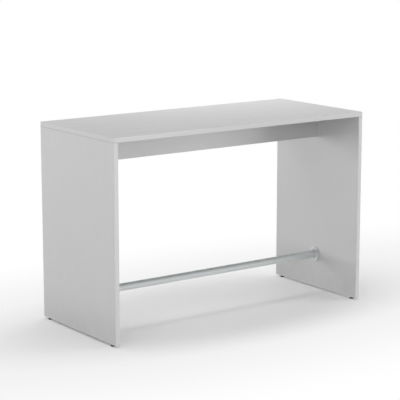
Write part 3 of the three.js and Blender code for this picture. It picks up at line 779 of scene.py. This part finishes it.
def beech_finish(name, stretch):
    """Beech with its fibres along the dowel and the short dark flecks of its rays."""
    made, tree, place = finish(name)
    fibre = grain(tree, place, 900, 4.0, stretch)
    fleck = grain(tree, place, 1600, 1.0, stretch).fade(0.62, 0.7)
    wood = fibre.blend(paint("#c7a57b"), paint("#e2c8a0"))
    return coat(
        made,
        Base_Color=(fleck * 0.6).blend(wood, paint("#a0764a")),
        Roughness=0.62 + fibre * 0.2,
        Normal=relief(tree, fibre, 0.00008),
    )


upright_beech = beech_finish("upright_beech", (1, 1, 0.06))
level_beech = beech_finish("level_beech", (0.06, 1, 1))


def fit_fitting(pattern, node, made, slot, origin, facing):
    """Puts a copy of a fitting in its place, where it stands for a CAD node."""
    piece = copy(pattern, node + "_fitting")
    set_down(piece, origin, facing)
    seat(piece, made, slot, "table", node)


for corner in CORNERS:
    dress(cast_zinc, f"{corner}_top_cam")
    for part, pattern, made, slot in (
        ("top_cam_bolt", bolt, zinc, "screw"),
        ("top_dowel", dowel, upright_beech, "dowel"),
    ):
        node = f"{corner}_{part}"
        fit_fitting(pattern, node, made, slot, (*centre(node).xy, TOP_UNDERSIDE), DOWN)
for side, sign in SIDES.items():
    dress(cast_zinc, f"{side}_rail_cam")
    for part, pattern, made, slot in (
        ("rail_cam_bolt", bolt, zinc, "screw"),
        ("rail_dowel_upper", dowel, level_beech, "dowel"),
        ("rail_dowel_lower", dowel, level_beech, "dowel"),
    ):
        node = f"{side}_{part}"
        fit_fitting(pattern, node, made, slot, (sign * LEG_FACE, *centre(node).yz), (-sign, 0, 0))
scrap(bolt, dowel)


# Foot rail: a drawn steel tube with a 2 mm wall, polished along its length and satin chrome plated.
# Its ends stand in the sockets on the legs.
tube_low, tube_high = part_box("foot_rail_tube")
TUBE_HEIGHT = centre("foot_rail_tube").z
TUBE_RADIUS = (tube_high.z - tube_low.z) / 2
TUBE_WALL = 0.002
bpy.ops.mesh.primitive_cylinder_add(
    vertices=128,
    radius=TUBE_RADIUS,
    depth=tube_high.x - tube_low.x,
    location=(0, 0, TUBE_HEIGHT),
    rotation=(0, math.pi / 2, 0),
)
foot_rail = bpy.context.object
foot_rail.name = "foot_rail"
alone(foot_rail)
bpy.ops.object.transform_apply()
pick(foot_rail, "FACE", lambda ends: len(ends) > 4)
bpy.ops.mesh.inset(thickness=TUBE_WALL)
bpy.ops.mesh.bridge_edge_loops()
bpy.ops.object.mode_set(mode="OBJECT")


def tube_rim(ends):
    """The inner and outer edges of the tube's cut ends."""
    first, second = [math.hypot(end.y, end.z - TUBE_HEIGHT) for end in ends]
    return level(ends, "x", tube_low.x, tube_high.x) and abs(first - second) < HAIR


round_off(foot_rail, TUBE_WALL / 5, tube_rim, 3)

TREAD_EDGE = TUBE_HEIGHT + 0.4 * TUBE_RADIUS
TREAD_MIDDLE = TUBE_HEIGHT + 0.95 * TUBE_RADIUS
satin_chrome, tree, place = finish("satin_chrome")
drawn = grain(tree, place, 26, 3.0, (0.4, 60, 60))
handled = grain(tree, place, 9)
rubbed = grain(tree, place, 40, 5.0, (0.4, 1, 1)).fade(0.5, 0.68)
trodden = rubbed * along(tree, place, "Z").fade(TREAD_EDGE, TREAD_MIDDLE)
coat(
    satin_chrome,
    Base_Color=(trodden * 0.5).blend(drawn.blend(paint("#dce0e0"), paint("#e8ebeb")), paint("#c9cbca")),
    Roughness=0.44 + drawn * 0.1 + handled * 0.06 + trodden * 0.1,
    Metallic=1.0,
    Normal=relief(tree, drawn, 0.00001),
)
seat(foot_rail, satin_chrome, "foot_rail", "table", "foot_rail_tube")


# Sockets: turned from bar, with a round flange that three countersunk screws hold to the leg and a collar
# that takes the end of the foot rail. A set screw under the collar locks it. Satin chrome covers the fine
# turning marks. The sizes of the body are in mm from the leg.
back, front = span_mm("left_foot_rail_socket", "x")
SOCKET_DEPTH = front - back
_, FLANGE_RADIUS = span_mm("left_foot_rail_socket", "y")
_, tube_side = span_mm("foot_rail_tube", "y")
TUBE_PLAY = 0.3
SOCKET_BORE = tube_side + TUBE_PLAY
SOCKET_FLOOR = 3
FLANGE_THICK = 8
COLLAR_RADIUS = 24
socket = turned(
    "socket",
    [
        (0, 0),
        (FLANGE_RADIUS, 0),
        (FLANGE_RADIUS, FLANGE_THICK),
        (COLLAR_RADIUS, FLANGE_THICK),
        (COLLAR_RADIUS, SOCKET_DEPTH),
        (SOCKET_BORE, SOCKET_DEPTH),
        (SOCKET_BORE, SOCKET_FLOOR),
        (0, SOCKET_FLOOR),
    ],
    [
        ((FLANGE_RADIUS, FLANGE_THICK), 2),
        ((COLLAR_RADIUS, FLANGE_THICK), 4),
        ((COLLAR_RADIUS, SOCKET_DEPTH), 1),
        ((SOCKET_BORE, SOCKET_DEPTH), 0.4),
    ],
    steps=96,
)

# The countersunk seats in the flange, in mm. The cutters run out past both faces.
SCREW_CIRCLE = 32
SCREW_TURNS = (-math.pi / 2, math.pi / 6, 5 * math.pi / 6)
SCREW_HOLE = 2.8
SEAT_RADIUS = 5.1
SEAT_LOW, SEAT_TOP = 4.9, 7.3
RUN_OUT = 1
countersink = turned(
    "countersink",
    [
        (0, -RUN_OUT),
        (SCREW_HOLE, -RUN_OUT),
        (SCREW_HOLE, SEAT_LOW),
        (SEAT_RADIUS, SEAT_TOP),
        (SEAT_RADIUS, FLANGE_THICK + RUN_OUT),
        (0, FLANGE_THICK + RUN_OUT),
    ],
    steps=48,
)
for turn in SCREW_TURNS:
    cutter = copy(countersink, "cutter")
    across, up = SCREW_CIRCLE * math.cos(turn), SCREW_CIRCLE * math.sin(turn)
    set_down(cutter, (across / 1000, up / 1000, 0))
    shape_with(socket, cutter, "DIFFERENCE")
scrap(countersink)

# The hole for the set screw, in mm from the leg.
SET_SCREW_PLACE = 18
drill_end = COLLAR_RADIUS + 2 * RUN_OUT
drill_outline = [(0, tube_side), (SCREW_HOLE, tube_side), (SCREW_HOLE, drill_end), (0, drill_end)]
drill = turned("drill", drill_outline, steps=32)
set_down(drill, (0, 0, SET_SCREW_PLACE / 1000), (0, -1, 0))
shape_with(socket, drill, "DIFFERENCE")

turned_chrome, tree, place = finish("turned_chrome")
flat_place = tree.node("VectorMath", {"operation": "MULTIPLY"}, {0: place, 1: (0, 1, 1)})
tube_axis = (0, 0, TUBE_HEIGHT)
from_axis = tree.node("VectorMath", {"operation": "DISTANCE"}, {0: flat_place, 1: tube_axis}, "Value")
marks = {"W": from_axis, "Scale": 3000.0, "Detail": 2.0}
ring = tree.node("TexNoise", {"noise_dimensions": "1D"}, marks)
handled = grain(tree, place, 30)
coat(
    turned_chrome,
    Base_Color=ring.blend(paint("#d9dcdd"), paint("#e4e6e6")),
    Roughness=0.42 + ring * 0.06 + handled * 0.05,
    Metallic=1.0,
    Normal=relief(tree, ring, 0.00001),
)

# The screws, in mm from the faces of their heads, each with a hexagon recess for a key.
SCREW_HEAD, SCREW_SHANK = 4.8, 2
SCREW_LENGTH, SCREW_POINT = 24, 4
HEAD_EDGE, HEAD_DEPTH = 0.4, 2.8
flange_screw = turned(
    "flange_screw",
    [
        (0, -SCREW_LENGTH),
        (SCREW_SHANK, SCREW_POINT - SCREW_LENGTH),
        (SCREW_SHANK, -HEAD_DEPTH),
        (SCREW_HEAD, -HEAD_EDGE),
        (SCREW_HEAD, 0),
        (0, 0),
    ],
    [((SCREW_HEAD, 0), 0.2)],
    steps=48,
)
shape_with(flange_screw, hexagon("key_recess", across=3, low=-2, high=RUN_OUT), "DIFFERENCE")
flange_thread = threaded("flange_thread", radius=2.5, depth=0.6, pitch=1.8, low=-21.5, high=-4, steps=24)
shape_with(flange_screw, flange_thread)

SET_SCREW_LENGTH = 3.3
set_screw = threaded("set_screw", radius=2.5, depth=0.4, pitch=0.8, low=-SET_SCREW_LENGTH, high=0, steps=24)
shape_with(set_screw, hexagon("set_key_recess", across=2.5, low=-1.6, high=RUN_OUT), "DIFFERENCE")

for side, sign in SIDES.items():
    inward = (-sign, 0, 0)
    flange = copy(socket, f"{side}_socket")
    set_down(flange, (sign * LEG_FACE, 0, TUBE_HEIGHT), inward)
    seat(flange, turned_chrome, "socket", "table", f"{side}_foot_rail_socket")
    for number in (1, 2, 3):
        node = f"{side}_socket_screw_{number}"
        low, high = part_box(node)
        head = low.x if sign > 0 else high.x
        fit_fitting(flange_screw, node, zinc, "screw", (head, *centre(node).yz), inward)
    node = f"{side}_socket_set_screw"
    fit_fitting(set_screw, node, zinc, "screw", (centre(node).x, 0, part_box(node)[0].z), DOWN)
scrap(socket, flange_screw, set_screw)


# Tabletop: the same melamine-faced board, laid flush over the legs, with a plastic band round its four
# edges. The long bands lap the ends of the short ones, and all are scraped to a small round above, below
# and at the corners.
TOP_MIDDLE = centre("tabletop").z
top_board = board_finish("top_board", "Z", TOP_MIDDLE)
dress(top_board, "tabletop")

TOP_CORNER = 0.0025
END_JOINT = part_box("tabletop")[1].x
low = Vector((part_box("top_edge_left")[0].x, *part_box("top_edge_front")[0].yz))
high = Vector((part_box("top_edge_right")[1].x, *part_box("top_edge_back")[1].yz))
slab = block("top_slab", low, high)
round_off(slab, TOP_CORNER, upright, 4)
round_off(slab, ARRIS_RADIUS, lambda ends: level(ends, "z", low.z, high.z))
# Over the legs the bands get a painted shade line along the groove under them.
over_legs = {"across": "Z", "middle": TOP_MIDDLE, "groove": TOP_UNDERSIDE}
long_band = band_finish("top_long_band", run="X", axis="Y", joint=BAND_JOINT, **over_legs)
end_band = band_finish("top_end_band", run="Y", axis="X", joint=END_JOINT, **over_legs)
for end, sign in ENDS.items():
    band = sawn_edge(slab, f"top_band_{end}", BAND_JOINT, (0, sign, 0))
    seat(band, long_band, "edge_band", "table", f"top_edge_{end}")
saw(slab, (0, BAND_JOINT, 0), (0, 1, 0))
saw(slab, (0, -BAND_JOINT, 0), (0, -1, 0))
for side, sign in SIDES.items():
    band = sawn_edge(slab, f"top_band_{side}", END_JOINT, (sign, 0, 0))
    seat(band, end_band, "edge_band", "table", f"top_edge_{side}")
scrap(slab)


# Cam caps: thin domed discs of light grey plastic, pressed over the cams once they are tight. A cross
# moulded under each disc grips the cam's driver slot.
CROSS_ARM, CROSS_HALF = 0.0037, 0.0006
CROSS_DEPTH = 0.003

# The disc, in mm from the face of the board.
CAP_RADIUS, CAP_CROWN = 9, 7
CAP_LIFT, CAP_EDGE, CAP_RISE, CAP_TOP = 0.02, 0.5, 1.2, 1.4
cap = turned(
    "cam_cap",
    [(0, CAP_LIFT), (CAP_RADIUS, CAP_LIFT), (CAP_RADIUS, CAP_EDGE), (CAP_CROWN, CAP_RISE), (0, CAP_TOP)],
    [((CAP_RADIUS, CAP_EDGE), 0.3), ((CAP_CROWN, CAP_RISE), 1.2)],
    steps=64,
)
for arm, half in ((CROSS_ARM, CROSS_HALF), (CROSS_HALF, CROSS_ARM)):
    shape_with(cap, block("cap_peg", (-arm, -half, -CROSS_DEPTH), (arm, half, CAP_EDGE / 1000)))

cap_plastic, tree, place = finish("cap_plastic")
spark = grain(tree, place, 2200)
coat(
    cap_plastic,
    Base_Color=spark.blend(paint("#c8c8c8"), paint("#cfcfcf")),
    Roughness=0.4 + spark * 0.1,
    Normal=relief(tree, spark, 0.00003),
)
for side, sign in SIDES.items():
    for end in ENDS:
        piece = copy(cap, f"{end}_{side}_cam_cap")
        set_down(piece, (sign * LEG_FACE, *centre(f"{end}_{side}_top_cam").yz), (-sign, 0, 0))
        seat(piece, cap_plastic, "edge_band", "table")
for side in SIDES:
    middle = centre(f"{side}_rail_cam")
    piece = copy(cap, f"{side}_rail_cam_cap")
    set_down(piece, (middle.x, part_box(f"{side}_rail_cam")[1].y, middle.z), (0, 1, 0))
    seat(piece, cap_plastic, "edge_band", "table")
scrap(cap)
